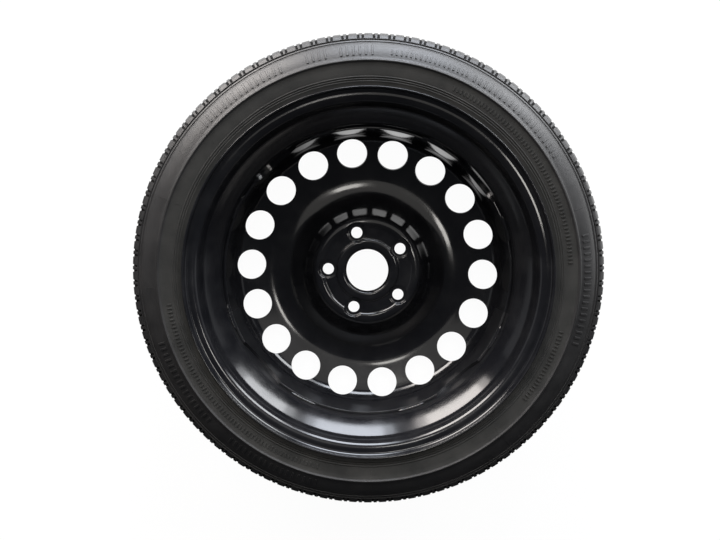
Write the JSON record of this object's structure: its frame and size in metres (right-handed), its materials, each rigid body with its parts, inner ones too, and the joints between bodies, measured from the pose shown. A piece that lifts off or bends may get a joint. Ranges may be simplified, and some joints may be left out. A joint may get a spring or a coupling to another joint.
{
  "type": "space saver spare wheel",
  "caption": "Narrow temporary spare wheel: a tubeless tyre on a pressed steel wheel with a ring of round vent holes, a dished hub pad and a snap-in valve.",
  "frame": {"origin": "centre of the hub mounting face, on the wheel's axis, 2.8 mm above the mouths of the bolt holes", "axes": "+Z along the wheel's axis, towards the inboard side; the wheel lies flat on its outboard side, on the disc's crest"},
  "size_m": [0.5674, 0.5674, 0.1371],
  "materials": {
    "tyre": "satin moulded rubber",
    "wheel_paint": "gloss black paint on pressed steel",
    "valve_rubber": "smooth black rubber",
    "valve_brass": "turned",
    "core_seal": "smooth",
    "spring_steel": "drawn wire",
    "cap_plastic": "satin black"
  },
  "bodies": {
    "wheel": {"tyre": "tyre", "rim": "wheel_paint", "disc": "wheel_paint", "weld_beads": "wheel_paint", "valve_body": "valve_rubber", "valve_stem": "valve_brass", "core_plug": "valve_brass", "core_barrel": "valve_brass", "core_seal": "core_seal", "core_spring": "spring_steel"},
    "pin": {"core_pin": "valve_brass", "core_cup": "valve_rubber"},
    "cap_gasket": {"cap_seal": "valve_rubber"},
    "cap": {"valve_cap": "cap_plastic"}
  },
  "joints": [
    {"name": "pin_press", "type": "slide", "parent": "wheel", "child": "pin", "axis": [-0.0076, -0.1735, 0.9848], "range_m": [0, 0.0015], "stiffness_N_per_m": 1000, "springref_m": -0.001, "deforming": ["core_spring"]},
    {"name": "cap_lift", "type": "slide", "parent": "wheel", "child": "cap_gasket", "axis": [0.0076, 0.1735, -0.9848], "range_m": [0, 0.00953]},
    {"name": "cap_turn", "type": "hinge", "parent": "cap_gasket", "child": "cap", "pos_m": [-0.00835, -0.19121, 0.01442], "axis": [0.0076, 0.1735, -0.9848], "range_deg": [0, 4320]}
  ],
  "couplings": [
    {"joint": "cap_turn", "follows": "cap_lift", "rad_per_m": 7913.3}
  ]
}
